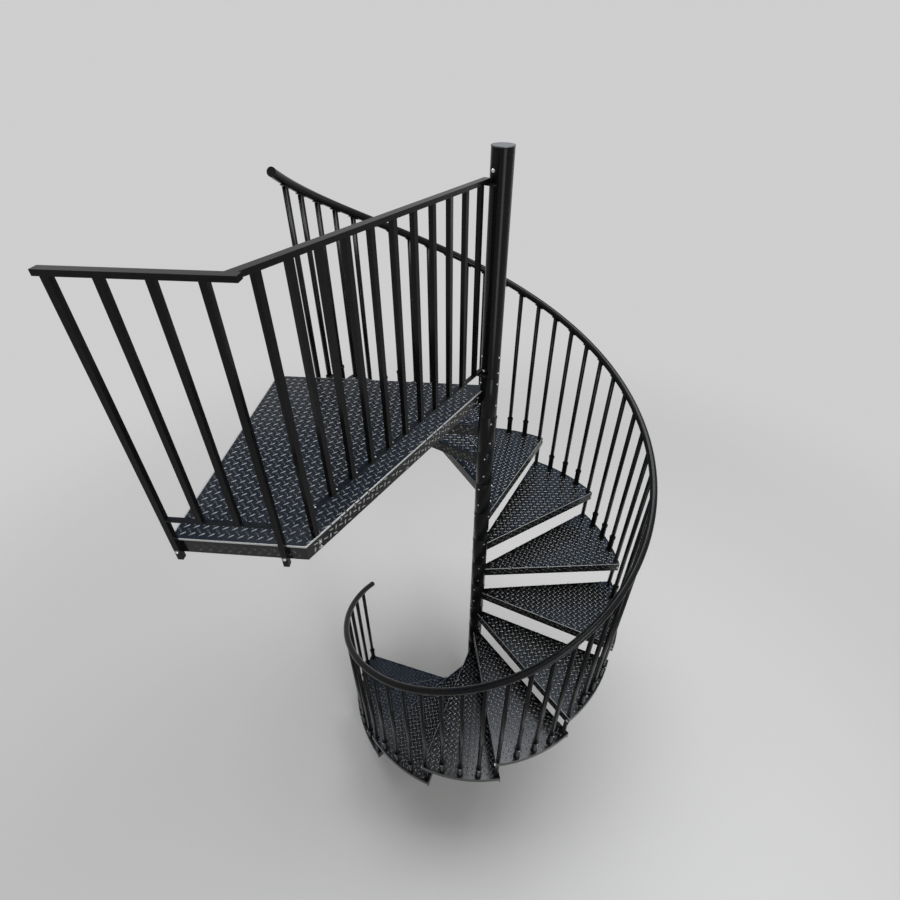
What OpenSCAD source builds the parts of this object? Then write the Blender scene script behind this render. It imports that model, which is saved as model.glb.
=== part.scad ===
// Steel spiral staircase: thirteen pie-shaped checker-plate treads on a centre
// pole, a landing that meets a deck, a round helical handrail on round
// balusters, and two straight guards on the landing's open edges.
// Millimetres. The origin is on the floor under the pole, +Z is up, and the
// landing's stair edge runs along -X. The stair climbs counter-clockwise.

/* [Stair] */
// Number of treads below the landing
tread_count = 13; // [8:1:15]
// Rise from one tread to the next
rise = 224; // [180:1:240]
// Angle from one nosing to the next, in degrees
tread_angle = 28.7; // [27:0.1:32]
// Angle by which a tread's back edge passes the next nosing line's direction, in degrees
overlap_angle = 1.3; // [1.2:0.1:3]
// Direction in which the nosing lines arrive at the landing, in degrees
landing_angle = 179.7; // [178:0.1:181]

/* [Treads] */
// Outer radius of the treads
tread_r = 914; // [800:1:1000]
// Thickness of the folded plate
plate_t = 5; // [4:0.5:8]
// Depth of the folded front and back flanges
flange_h = 62; // [45:1:75]
// Height of the curved lip on the outer edge
lip_h = 36; // [20:1:50]
// Distance by which the nosing lines pass before the pole's axis
nose_off = 20; // [5:1:30]

/* [Pole] */
// Outer diameter of the hubs and of the newel above the landing
hub_d = 89; // [84:1:110]
// Outer diameter of the pole inside the hubs
pole_d = 73; // [60:1:76]
// Wall thickness of the pole
pole_wall = 5; // [3:0.5:8]
// Height of each hub above its tread
hub_above = 75; // [40:1:100]
// Height of the newel's top above the landing
newel_h = 1030; // [950:5:1200]
// Side of the square base plate
base_w = 305; // [250:5:400]
// Thickness of the base plate
base_t = 13; // [10:1:20]
// Diameter of the circle through the anchor holes
anchor_pcd = 330; // [280:5:360]
// Diameter of the anchor holes
anchor_d = 16; // [12:1:20]

/* [Handrail] */
// Diameter of the handrail tube
rail_d = 38; // [32:1:48]
// Height of the handrail's centre above the nosings
rail_h = 928; // [860:1:960]
// Angle by which the handrail runs on past the lowest nosing, in degrees
rail_start = 9; // [5:0.5:10]
// Angle by which the handrail stops short of the landing, in degrees
rail_stop = 1; // [0.5:0.1:5]
// Distance from a tread's outer edge to the middle of its balusters
baluster_inset = 25; // [20:1:40]
// Diameter of the round balusters
baluster_d = 25.4; // [19:0.1:28]
// Balusters for each tread
per_tread = 4; // [3:1:5]
// Height of the shoe that holds a baluster's foot
shoe_h = 120; // [60:5:140]

/* [Landing] */
// Distance from the pole to the landing's deck edge
landing_x = 1060; // [960:5:1200]
// Distance from the pole to the landing's far edge
landing_y = 1054; // [900:1:1100]
// Distance of the landing's stair edge from the pole's axis
stair_edge = 32; // [20:1:40]
// Direction of the landing's edge with the front guard, in degrees
guard_angle = 241.8; // [236:0.1:246]
// Distance of that edge from the pole's axis
guard_offset = 18; // [14:1:30]
// Holes for the bolts that hold the landing to the deck
deck_bolts = 4; // [2:1:6]
// Distance between those holes
deck_bolt_pitch = 230; // [120:5:240]
// Diameter of those holes
deck_bolt_d = 12; // [8:1:16]

/* [Guards] */
// Height of the guards above the landing
guard_h = 926; // [900:1:1100]
// Number of balusters in the front guard
guard_bars = 10; // [6:1:10]
// Distance between the guards' balusters
guard_pitch = 105; // [90:1:106]
// Side of the guards' square balusters
guard_bar = 19; // [12:1:22]
// Side of the guards' square posts
guard_post = 20; // [18:1:32]
// Distance from the landing's corner to the front guard's post
post_back = 60; // [40:1:80]
// Width of the guards' flat top rail
top_rail_w = 28; // [26:1:50]
// Thickness of the guards' flat top rail
top_rail_t = 16; // [8:1:20]
// Height of the guards' bottom rail above the landing
bottom_rail_z = 104; // [80:1:110]

/* [Hidden] */
$fn = 48;
paint = "#26282b";
bright = "#3a3c40";

hub_r = hub_d / 2;
// Clearance between the pole and the bore of a hub
hub_fit = 0.25;
hub_chamfer = 1.5;
// Where round faces start, away from the edges that meet them
seam_turn = 200;
// The cap is a disc that stands a little proud of the newel
cap_t = 6;
cap_lip = 1;
landing_z = (tread_count + 1) * rise;
tread_wide = tread_angle + overlap_angle;
baluster_r = tread_r - baluster_inset;
// Angle from a nosing line's direction to the baluster at its corner
baluster_phase = 1.2 - asin(nose_off / baluster_r);
baluster_step = tread_angle / per_tread;
// Clearance round what passes through a plate
hole_fit = 0.3;
// Slope of the handrail at its own radius
slope = atan(rise / (baluster_r * tread_angle * PI / 180));
// Flat tab on a baluster's top, screwed to the handrail from below
tab_t = 4;
tab_l = 52;
tab_w = 20;
// Shoe: a wide ring, a sleeve and a collar
shoe_wall = 4;
ring_wall = 9;
ring_h = 8;
collar_wall = 7;
collar_h = 12;
// Handrail sweep
rail_sides = 16;
rail_rings = 84;
bottom_rail_t = 6;
bottom_rail_w = 20;
// Brackets that bolt the front guard to the newel
bracket_t = 5;
bracket_w = 26;
top_bracket_rise = 58;
bottom_bracket_rise = 26;
bracket_reach = 34;
bracket_turn = 9;
// Where the front guard's rails end, from the pole's axis
top_rail_from = 48;
bottom_rail_from = 30;
// The side guard: its first post from the landing's corner, and its last from the deck edge
side_post_in = 75;
side_post_out = 25;
// Length of the side guard's posts below the landing's flange
side_post_drop = 20;
side_bars = 2;

function nosing(k) = landing_angle - (tread_count + 1 - k) * tread_angle;
function rail_z(a) = landing_z + rail_h + rise * (a - landing_angle) / tread_angle;

// The landing in plan
guard_dir = [cos(guard_angle), sin(guard_angle)];
guard_in = [guard_dir[1], -guard_dir[0]];
guard_from = guard_offset * guard_in;
function guard_at(s) = guard_from + s * guard_dir;
corner_s = (-landing_y - guard_from[1]) / guard_dir[1];
landing_pts = [
    guard_at((stair_edge - guard_from[1]) / guard_dir[1]),
    [-landing_x, stair_edge],
    [-landing_x, -landing_y],
    guard_at(corner_s)];
// The guards' posts stand against the flanges, on the middle line of their rails
post_off = plate_t + guard_post / 2;
post_s = corner_s - post_back;
// The guards' balusters stand on the bottom rail
bar_z = bottom_rail_z + bottom_rail_t;

// A sleeve before its bore is cut, with its seam turned away from the tread
module hub_blank(bottom, top) {
    c = hub_chamfer;
    rotate(seam_turn) rotate_extrude()
        polygon([[0, bottom], [hub_r - c, bottom], [hub_r, bottom + c],
            [hub_r, top - c], [hub_r - c, top], [0, top]]);
}

module hub_bore(bottom, top) {
    translate([0, 0, bottom - 1]) rotate(seam_turn)
        cylinder(r = pole_d / 2 + hub_fit, h = top - bottom + 2);
}

module hub(bottom, top) {
    difference() {
        hub_blank(bottom, top);
        hub_bore(bottom, top);
    }
}

module disc(r) { rotate(seam_turn) circle(r = r, $fn = 96); }

// Where a pan's front and back lines cross, inside the hub
function apex(a) = -nose_off * [1 / tan(a), 1];

module sector(r, a) {
    intersection() {
        disc(r);
        translate(apex(a)) polygon([[0, 0], [2 * r, 0], [2 * r, 2 * r * tan(a / 2)],
            [2 * r * cos(a), 2 * r * sin(a)]]);
    }
}

module baluster_hole() {
    rotate(baluster_phase) translate([baluster_r, 0, -lip_h])
        cylinder(d = baluster_d + 2 * hole_fit, h = 2 * lip_h);
}

// The space between a pan's two flanges, in plan
module between_flanges() {
    corner = [plate_t / tan(tread_wide / 2), plate_t];
    far = 2 * tread_r;
    translate(apex(tread_wide)) polygon([corner, corner + [far, 0], corner + far * [1, tan(tread_wide / 2)],
        corner + far * [cos(tread_wide), sin(tread_wide)]]);
}

// One folded pan welded to its hub, with its nosing parallel to X and its top at z = 0
module tread_pan() {
    difference() {
        union() {
            difference() {
                translate([0, 0, -flange_h]) linear_extrude(flange_h)
                    sector(tread_r, tread_wide);
                translate([0, 0, -flange_h - 1]) linear_extrude(flange_h + 1 - plate_t)
                    intersection() {
                        disc(tread_r - plate_t);
                        between_flanges();
                    }
                translate([0, 0, -flange_h - 1]) linear_extrude(flange_h + 1 - lip_h)
                    between_flanges();
            }
            hub_blank(hub_above - rise, hub_above);
        }
        hub_bore(hub_above - rise, hub_above);
        children();
    }
}

// The baluster at a tread's front corner runs down to the tread below it
module tread(k) {
    color(paint) rotate(nosing(k)) translate([0, 0, k * rise])
        if (k == 1) tread_pan();
        else tread_pan() baluster_hole();
}

module shoe() {
    difference() {
        union() {
            cylinder(d = baluster_d + 2 * shoe_wall, h = shoe_h);
            cylinder(d = baluster_d + 2 * ring_wall, h = ring_h);
            translate([0, 0, shoe_h - collar_h])
                cylinder(d = baluster_d + 2 * collar_wall, h = collar_h);
        }
        translate([0, 0, -1]) cylinder(d = baluster_d, h = shoe_h + 2);
    }
}

// A baluster from foot_z up to the handrail at angle a, with its tab
module baluster(a, foot_z) {
    top = rail_z(a) - (rail_d / 2 + tab_t) / cos(slope);
    far = tread_r / 2;
    rotate(a) translate([baluster_r, 0, 0]) {
        difference() {
            translate([0, 0, foot_z]) cylinder(d = baluster_d, h = top + baluster_d - foot_z);
            translate([0, 0, top]) rotate([slope, 0, 0])
                translate([-far / 2, -far / 2, 0]) cube(far);
        }
        translate([0, 0, top]) rotate([slope, 0, 0])
            translate([-tab_w / 2, -tab_l / 2, 0]) cube([tab_w, tab_l, tab_t]);
    }
}

// Balusters that stand on tread k; the last of them passes the next tread's corner
module balusters(k) {
    first = k == 1 ? 0 : 1;
    last = k == tread_count ? per_tread - 1 : per_tread;
    color(paint) for (i = [first:last]) {
        a = nosing(k) + baluster_phase + i * baluster_step;
        baluster(a, k * rise);
        if (i < per_tread) rotate(a) translate([baluster_r, 0, k * rise]) shoe();
    }
}

module handrail() {
    a0 = nosing(1) - rail_start;
    a1 = landing_angle - rail_stop;
    // The facets are tangent to the tube, with one of them facing down
    r = rail_d / 2 / cos(180 / rail_sides);
    pts = [for (i = [0:rail_rings - 1]) let (a = a0 + (a1 - a0) * i / (rail_rings - 1))
        for (j = [0:rail_sides - 1]) let (b = 360 * (j + 0.5) / rail_sides,
            x = baluster_r + r * cos(b), v = r * sin(b))
            [x * cos(a) + v * sin(slope) * sin(a),
             x * sin(a) - v * sin(slope) * cos(a),
             rail_z(a) + v * cos(slope)]];
    faces = concat(
        [[for (j = [0:rail_sides - 1]) j]],
        [for (i = [0:rail_rings - 2]) for (j = [0:rail_sides - 1])
            let (m = i * rail_sides, n = (j + 1) % rail_sides)
            [m + j, m + rail_sides + j, m + rail_sides + n, m + n]],
        [[for (j = [rail_sides - 1:-1:0]) (rail_rings - 1) * rail_sides + j]]);
    color(paint) polyhedron(points = pts, faces = faces);
}

// An outline moved inwards by t, from the crossings of its moved edges
function along(p, q) = (q - p) / norm(q - p);
function left(d) = [-d[1], d[0]];
function crossing(p, d, q, e) = p + d * cross(q - p, e) / cross(d, e);
function inset(pts, t) = let (n = len(pts)) [for (i = [0:n - 1])
    let (b = pts[i], d = along(pts[(i + n - 1) % n], b), e = along(b, pts[(i + 1) % n]))
    crossing(b + t * left(d), d, b + t * left(e), e)];

module landing() {
    color(paint) difference() {
        union() {
            difference() {
                translate([0, 0, landing_z - flange_h]) linear_extrude(flange_h)
                    polygon(landing_pts);
                translate([0, 0, landing_z - flange_h - 1])
                    linear_extrude(flange_h + 1 - plate_t) polygon(inset(landing_pts, plate_t));
            }
            translate([0, 0, landing_z]) hub_blank(hub_above - rise, hub_above);
        }
        translate([0, 0, landing_z]) hub_bore(hub_above - rise, hub_above);
        in_guard(post_s)
            translate([-guard_post / 2 - hole_fit, -guard_post / 2, -flange_h])
                cube([guard_post + 2 * hole_fit, guard_post + hole_fit, 2 * flange_h]);
        for (i = [0:deck_bolts - 1])
            translate([-landing_x - 1, (stair_edge - landing_y) / 2
                + (i - (deck_bolts - 1) / 2) * deck_bolt_pitch, landing_z - flange_h / 2 - plate_t / 2])
                rotate([0, 90, 0]) cylinder(d = deck_bolt_d, h = plate_t + 2);
    }
}

// The front guard's frame: x runs along the edge, y inwards from the middle of its rails
module in_guard(s) {
    at = guard_at(s) + post_off * guard_in;
    translate([at[0], at[1], landing_z]) rotate(guard_angle) mirror([0, 1, 0]) children();
}

// A square bar or post from z0 up to the underside of the top rail
module upright(w, z0) {
    translate([-w / 2, -w / 2, z0]) cube([w, w, guard_h - top_rail_t - z0]);
}

// The bracket at a rail's end, before it is cut to the newel: a foot under the
// rail and a saddle that stands up against the newel
module newel_bracket(z, rise_above) {
    off = guard_offset + post_off;
    translate([0, -off, z - bracket_t]) {
        rotate(bracket_turn) intersection() {
            rotate(180) cylinder(r = hub_r + bracket_t, h = rise_above + bracket_t);
            translate([0, -bracket_w / 2, -1])
                cube([hub_d, bracket_w, rise_above + 2 * bracket_t]);
        }
        translate([0, -bracket_w / 2, 0])
            cube([hub_r + bracket_reach, off + bracket_w, bracket_t]);
    }
}

module front_guard() {
    color(paint) {
        difference() {
            union() {
                in_guard(top_rail_from) translate([0, -top_rail_w / 2, guard_h - top_rail_t])
                    cube([corner_s + top_rail_w, top_rail_w, top_rail_t]);
                in_guard(bottom_rail_from) translate([0, -bottom_rail_w / 2, bottom_rail_z])
                    cube([post_s - bottom_rail_from, bottom_rail_w, bottom_rail_t]);
                in_guard(0) newel_bracket(guard_h - top_rail_t, top_bracket_rise);
                in_guard(0) newel_bracket(bottom_rail_z, bottom_bracket_rise);
            }
            rotate(seam_turn) cylinder(r = hub_r, h = landing_z + newel_h);
            // The top rail's end is cut along the side guard's rail
            translate([-2 * landing_x, -3 * landing_y, 0])
                cube([4 * landing_x, 2 * landing_y + top_rail_w / 2 - guard_post / 2, 2 * landing_z]);
        }
        for (i = [1:guard_bars]) in_guard(post_s - i * guard_pitch) upright(guard_bar, bar_z);
        in_guard(post_s) upright(guard_post, -flange_h);
    }
}

// The side guard stands outside the landing's far flange
module side_guard() {
    from_x = landing_pts[3][0] - side_post_in;
    to_x = side_post_out - landing_x;
    rail_end = landing_pts[3][0] + guard_post / 2;
    color(paint) translate([0, -landing_y - guard_post / 2, landing_z]) {
        translate([-landing_x, -top_rail_w / 2, guard_h - top_rail_t])
            cube([landing_x + rail_end, top_rail_w, top_rail_t]);
        translate([to_x, -bottom_rail_w / 2, bottom_rail_z])
            cube([from_x - to_x, bottom_rail_w, bottom_rail_t]);
        for (x = [from_x, to_x])
            translate([x, 0, 0]) upright(guard_post, -flange_h - side_post_drop);
        for (i = [1:side_bars]) translate([from_x + (to_x - from_x) * i / (side_bars + 1), 0, 0])
            upright(guard_bar, bar_z);
    }
}

module centre_pole() {
    pole_h = landing_z + newel_h - cap_t - base_t;
    color(paint) translate([0, 0, base_t]) difference() {
        cylinder(d = pole_d, h = pole_h);
        translate([0, 0, -1]) cylinder(d = pole_d - 2 * pole_wall, h = pole_h + 2);
    }
}

module base_plate() {
    color(paint) difference() {
        translate([-base_w / 2, -base_w / 2, 0]) cube([base_w, base_w, base_t]);
        for (a = [45:90:315]) rotate(a) translate([anchor_pcd / 2, 0, -1])
            cylinder(d = anchor_d, h = base_t + 2);
    }
}

module base_collar() { color(paint) hub(base_t, hub_above); }

module newel() { color(paint) hub(landing_z + hub_above, landing_z + newel_h - cap_t); }

module newel_cap() {
    color(bright) translate([0, 0, landing_z + newel_h - cap_t])
        cylinder(d = hub_d + 2 * cap_lip, h = cap_t);
}

base_plate();
base_collar();
centre_pole();
for (k = [1:tread_count]) tread(k);
landing();
newel();
newel_cap();
handrail();
for (k = [1:tread_count]) balusters(k);
front_guard();
side_guard();
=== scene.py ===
import math
import bmesh
import bpy
from mathutils import Euler, Matrix, Vector


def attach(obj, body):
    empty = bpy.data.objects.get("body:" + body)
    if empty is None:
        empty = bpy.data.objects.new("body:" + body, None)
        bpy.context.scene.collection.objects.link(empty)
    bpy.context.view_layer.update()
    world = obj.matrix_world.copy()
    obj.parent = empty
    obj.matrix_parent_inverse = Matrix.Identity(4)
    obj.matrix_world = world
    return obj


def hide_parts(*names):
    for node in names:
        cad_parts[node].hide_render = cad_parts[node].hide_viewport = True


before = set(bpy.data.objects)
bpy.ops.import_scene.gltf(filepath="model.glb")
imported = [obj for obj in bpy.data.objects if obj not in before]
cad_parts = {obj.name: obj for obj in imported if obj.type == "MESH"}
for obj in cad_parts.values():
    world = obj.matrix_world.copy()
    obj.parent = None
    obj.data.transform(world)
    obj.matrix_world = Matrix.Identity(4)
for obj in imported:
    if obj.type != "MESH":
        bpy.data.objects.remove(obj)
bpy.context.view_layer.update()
scene = bpy.context.scene

# The stair's sizes in metres and radians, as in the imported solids
stair = {
    "treads": 13,
    "rise": 0.224,
    "turn": math.radians(28.7),
    "wide": math.radians(30),
    "landingAngle": math.radians(179.7),
    "noseOff": 0.02,
    "radius": 0.914,
    "plate": 0.005,
    "flange": 0.062,
    "lip": 0.036,
    "hubRadius": 0.0445,
    "boreRadius": 0.03675,
    "hubAbove": 0.075,
    "railRadius": 0.019,
    "railHeight": 0.928,
    "railStart": math.radians(9),
    "railStop": math.radians(1),
    "balusterRing": 0.889,
    "balusterRadius": 0.0127,
    "balusterLead": math.radians(1.2),
    "perTread": 4,
    "guardAngle": math.radians(241.8),
    "guardOffset": 0.018,
    "landingX": 1.06,
    "landingY": 1.054,
    "stairEdge": 0.032,
}
landingZ = (stair["treads"] + 1) * stair["rise"]
slope = math.atan(stair["rise"] / (stair["balusterRing"] * stair["turn"]))
# Angle from a nosing line's direction to the baluster at its corner
balusterPhase = stair["balusterLead"] - math.asin(stair["noseOff"] / stair["balusterRing"])


def nosing(k):
    return stair["landingAngle"] - (stair["treads"] + 1 - k) * stair["turn"]


def railCentre(angle):
    climbed = stair["rise"] * (angle - stair["landingAngle"]) / stair["turn"]
    return landingZ + stair["railHeight"] + climbed


def polar(radius, angle, z=0.0):
    return Vector((radius * math.cos(angle), radius * math.sin(angle), z))


def turned(angle, z=0.0):
    return Matrix.Translation((0, 0, z)) @ Matrix.Rotation(angle, 4, "Z")


class Wire:
    # A node socket. Arithmetic between wires adds Math nodes to their tree.
    def __init__(self, tree, socket=None):
        self.tree = tree
        self.socket = socket

    def node(self, kind, settings=None, inputs=None, out=0):
        made = self.tree.nodes.new(kind)
        for key, value in (settings or {}).items():
            setattr(made, key, value)
        for key, value in (inputs or {}).items():
            if isinstance(value, Wire):
                self.tree.links.new(value.socket, made.inputs[key])
            else:
                made.inputs[key].default_value = value
        return Wire(self.tree, made.outputs[out])

    def math(self, operation, *values):
        return self.node("ShaderNodeMath", {"operation": operation}, dict(enumerate(values)))

    def sibling(self, key):
        return Wire(self.tree, self.socket.node.outputs[key])

    def __add__(self, other):
        return self.math("ADD", self, other)

    def __radd__(self, other):
        return self.math("ADD", other, self)

    def __sub__(self, other):
        return self.math("SUBTRACT", self, other)

    def __rsub__(self, other):
        return self.math("SUBTRACT", other, self)

    def __mul__(self, other):
        return self.math("MULTIPLY", self, other)

    def __rmul__(self, other):
        return self.math("MULTIPLY", other, self)

    def __truediv__(self, other):
        return self.math("DIVIDE", self, other)

    def __rtruediv__(self, other):
        return self.math("DIVIDE", other, self)

    def __pow__(self, other):
        return self.math("POWER", self, other)

    def __rpow__(self, other):
        return self.math("POWER", other, self)


# Materials

def noise(at, scale, detail=3.0):
    return at.node("ShaderNodeTexNoise", {}, {"Vector": at, "Scale": scale, "Detail": detail})


def ramp(value, low, high):
    return value.node("ShaderNodeMapRange", {"interpolation_type": "SMOOTHSTEP"},
        {"Value": value, "From Min": low, "From Max": high})


def tint(factor, a, b):
    return factor.node("ShaderNodeMix", {"data_type": "RGBA"}, {0: factor, 6: a, 7: b}, out=2)


def painted(name, look):
    # Powder coat: two dark shades in a fine grain, with dust, dried drops, and bends painted lighter
    # as worn paint and as a painted highlight
    material = bpy.data.materials.new(name)
    material.use_nodes = True
    tree = material.node_tree
    shader = tree.nodes["Principled BSDF"]
    at = Wire(tree).node("ShaderNodeTexCoord", out="Object")
    normal = at.node("ShaderNodeNewGeometry", out="Normal")
    up = at.node("ShaderNodeSeparateXYZ", {}, {0: normal}, out=2)
    broad = noise(at, look["patchScale"], 4.0)
    fine = noise(at, look["grainScale"], 5.0)
    mark = noise(at, look["markScale"], 2.0)
    flat = ramp(up, 0.5, 0.98)
    # Dust in patches, thickest on what faces up
    dust = ramp(broad * 0.65 + fine * 0.35, 0.4, 0.66) * (flat * look["dustOnTop"] + look["dust"])
    # Thin outlines where drops have dried
    rings = 1.0 - ramp((mark - 0.5).math("ABSOLUTE", mark - 0.5), 0.0, 0.03)
    dust = dust + rings * flat * look["waterMarks"]
    shade = tint(ramp(fine, 0.25, 0.8), look["colour"] + (1,), look["colour2"] + (1,))
    colour = tint(dust, shade, look["dustColour"] + (1,))
    # Bends and marked lozenge tops painted lighter, unevenly: partly worn paint, partly a painted
    # highlight
    bend = at.node("ShaderNodeAttribute", {"attribute_name": "bend"}, out="Fac")
    wearAndHighlight = ramp(bend * (0.6 + fine * 0.8), 0.35, 0.75) * look["wearAndHighlight"]
    colour = tint(wearAndHighlight, colour, look["wearAndHighlightColour"] + (1,))
    rough = look["rough"] + (broad - 0.5) * look["roughSpread"] + dust * 0.3
    peel = noise(at, look["peelScale"], 2.0)
    bump = peel.node("ShaderNodeBump", {}, {"Strength": look["peel"], "Distance": 0.0006,
        "Height": peel})
    tree.links.new(colour.socket, shader.inputs["Base Color"])
    tree.links.new(rough.socket, shader.inputs["Roughness"])
    tree.links.new(bump.socket, shader.inputs["Normal"])
    shader.inputs["Metallic"].default_value = look["metallic"]
    shader.inputs["Specular IOR Level"].default_value = look["specular"]
    return material


steelLook = {
    "colour": (0.0022, 0.0023, 0.0024),
    "colour2": (0.0045, 0.0045, 0.0046),
    "dustColour": (0.06, 0.057, 0.05),
    "dust": 0.008,
    "dustOnTop": 0.03,
    "waterMarks": 0.0,
    "rough": 0.21,
    "roughSpread": 0.03,
    "patchScale": 5.0,
    "grainScale": 70.0,
    "markScale": 9.0,
    "peelScale": 700.0,
    "peel": 0.0,
    "metallic": 0.0,
    "specular": 0.14,
    "wearAndHighlight": 0.0,
    "wearAndHighlightColour": (0.42, 0.42, 0.41),
}
# The plate's marked bends are painted lighter: partly worn paint, partly a painted highlight
plateLook = dict(steelLook, dustOnTop=0.05, waterMarks=0.015, rough=0.2, roughSpread=0.1,
    peel=0.03, specular=0.32, wearAndHighlight=0.6)
# Lozenges painted lighter than the plate: partly rubbed tops, partly a painted sheen that keeps them
# showing
lozengeLook = dict(steelLook, colour=(0.015, 0.0153, 0.0158), colour2=(0.032, 0.0323, 0.0328),
    dustOnTop=0.05, rough=0.2, peel=0.03, specular=0.85)
# A darker copy of the lozenge paint for the landing, as painted shade; its marked tops under the
# front guard are painted lighter as painted glints
landingShadedLozengeLook = dict(lozengeLook, colour=(0.008, 0.0082, 0.0086),
    colour2=(0.016, 0.0163, 0.0168), specular=0.5, wearAndHighlight=0.5)
capLook = dict(steelLook, colour=(0.1, 0.102, 0.105), colour2=(0.13, 0.132, 0.135),
    dustOnTop=0.1, rough=0.42, metallic=0.6)
zincLook = dict(steelLook, colour=(0.5, 0.5, 0.5), colour2=(0.62, 0.62, 0.61), dust=0.1,
    dustOnTop=0.1, rough=0.34, peel=0.05, metallic=1.0)
steelPaint = painted("steelPaint", steelLook)
platePaint = painted("platePaint", plateLook)
lozengePaint = painted("lozengePaint", lozengeLook)
landingLozengePaint = painted("landingLozengePaint", landingShadedLozengeLook)
capPaint = painted("capPaint", capLook)
zinc = painted("zinc", zincLook)
print("materials made")


# Meshes

def taken(body, name, sharp=35):
    # The finished mesh, smooth apart from edges sharper than this angle in degrees
    mesh = bpy.data.meshes.new(name)
    bmesh.ops.recalc_face_normals(body, faces=body.faces)
    body.to_mesh(mesh)
    body.free()
    mesh.shade_smooth()
    mesh.set_sharp_from_angle(angle=math.radians(sharp))
    return mesh


def evaluated(mesh, name, addModifiers):
    # The mesh with these modifiers applied
    holder = bpy.data.objects.new("holder", mesh)
    scene.collection.objects.link(holder)
    addModifiers(holder)
    graph = bpy.context.evaluated_depsgraph_get()
    done = bpy.data.meshes.new_from_object(holder.evaluated_get(graph),
        preserve_all_data_layers=True, depsgraph=graph)
    holder.modifiers.clear()
    bpy.data.objects.remove(holder)
    done.name = name
    return done


def rounded(mesh, width, segments, angle=None):
    # Rounds the edges by their bevel weights, or those sharper than the angle in degrees
    def addBevel(holder):
        bevel = holder.modifiers.new("bevel", "BEVEL")
        bevel.width = width
        bevel.segments = segments
        bevel.limit_method = "ANGLE" if angle else "WEIGHT"
        if angle:
            bevel.angle_limit = math.radians(angle)

    def addNormals(holder):
        weighted = holder.modifiers.new("weighted", "WEIGHTED_NORMAL")
        weighted.keep_sharp = True

    done = evaluated(mesh, mesh.name, addBevel)
    done.shade_smooth()
    done.set_sharp_from_angle(angle=math.radians(35))
    return evaluated(done, mesh.name, addNormals)


def bendMarked(mesh, bend, amount, frontOnly=None):
    # Marks the upper part of the bend where the top plate turns down into a flange, all
    # round or only along the front edge, which lies at this y
    # The mark is painted lighter: partly worn paint, partly a painted highlight along the bend
    layer = mesh.attributes.new("bend", "FLOAT", "POINT")
    for vertex in mesh.vertices:
        if frontOnly is None or vertex.co.y < frontOnly + 1.5 * bend:
            drop = -vertex.co.z / bend
            if 0.0 < drop < 0.6 and vertex.normal.z > 0.3:
                layer.data[vertex.index].value = amount
    return mesh


def joined(meshes, name):
    parts = []
    for mesh in meshes:
        part = bpy.data.objects.new("part", mesh)
        scene.collection.objects.link(part)
        parts.append(part)
    with bpy.context.temp_override(active_object=parts[0], object=parts[0],
            selected_objects=parts, selected_editable_objects=parts):
        bpy.ops.object.join()
    done = parts[0].data
    bpy.data.objects.remove(parts[0])
    done.name = name
    return done


def moved(mesh, matrix):
    done = mesh.copy()
    done.transform(matrix)
    return done


def coated(mesh, material):
    mesh.materials.clear()
    mesh.materials.append(material)
    return mesh


def placed(mesh, name, replaced=()):
    piece = bpy.data.objects.new(name, mesh)
    scene.collection.objects.link(piece)
    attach(piece, "root")
    if replaced:
        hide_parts(*replaced)
    return piece


def lathed(profile, name, sides, ring=False):
    # Turns (radius, height) points about Z; a ring's profile closes on itself
    body = bmesh.new()
    rows = []
    for radius, height in profile:
        if radius < 1e-6:
            rows.append([body.verts.new((0, 0, height))])
        else:
            rows.append([body.verts.new(polar(radius, 2 * math.pi * i / sides, height))
                for i in range(sides)])
    pairs = list(zip(rows, rows[1:]))
    if ring:
        pairs.append((rows[-1], rows[0]))
    for low, high in pairs:
        for i in range(sides):
            j = (i + 1) % sides
            if len(low) == 1:
                corners = [low[0], high[j], high[i]]
            elif len(high) == 1:
                corners = [low[i], low[j], high[0]]
            else:
                corners = [low[i], low[j], high[j], high[i]]
            body.faces.new(corners)
    return taken(body, name, 30)


def chamfered(inner, outer, bottom, top, cut):
    # The profile of a sleeve with its outer edges rounded
    soft = cut * 0.3
    return [(inner, bottom), (outer - cut, bottom), (outer - soft, bottom + soft),
        (outer, bottom + cut), (outer, top - cut), (outer - soft, top - soft),
        (outer - cut, top), (inner, top)]


def boxed(low, high, name, width, segments):
    body = bmesh.new()
    bmesh.ops.create_cube(body, size=1.0)
    low, high = Vector(low), Vector(high)
    for vertex in body.verts:
        vertex.co = Vector((low[i] if vertex.co[i] < 0 else high[i]) for i in range(3))
    return rounded(taken(body, name), width, segments, 30)


# Geometry Nodes

def openTree(name, sockets):
    tree = bpy.data.node_groups.new(name, "GeometryNodeTree")
    tree.interface.new_socket("Geometry", in_out="INPUT", socket_type="NodeSocketGeometry")
    for label, kind, value in sockets:
        made = tree.interface.new_socket(label, in_out="INPUT", socket_type="NodeSocket" + kind)
        if value is not None:
            made.default_value = value
    tree.interface.new_socket("Geometry", in_out="OUTPUT", socket_type="NodeSocketGeometry")
    entry = tree.nodes.new("NodeGroupInput")
    return tree, {socket.name: Wire(tree, socket) for socket in entry.outputs if socket.name}


def closeTree(tree, geometry, material):
    real = geometry.node("GeometryNodeRealizeInstances", {}, {"Geometry": geometry})
    dressed = real.node("GeometryNodeSetMaterial", {}, {"Geometry": real, "Material": material})
    leave = tree.nodes.new("NodeGroupOutput")
    tree.links.new(dressed.socket, leave.inputs["Geometry"])


def grown(tree, mesh, values, name):
    def addTree(holder):
        modifier = holder.modifiers.new("grow", "NODES")
        modifier.node_group = tree
        for item in tree.interface.items_tree:
            if item.in_out == "INPUT" and item.name in values:
                modifier[item.identifier] = values[item.name]
    return evaluated(mesh, name, addTree)


def named(wire, kind, name):
    return wire.node("GeometryNodeInputNamedAttribute", {"data_type": kind}, {"Name": name})


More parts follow.
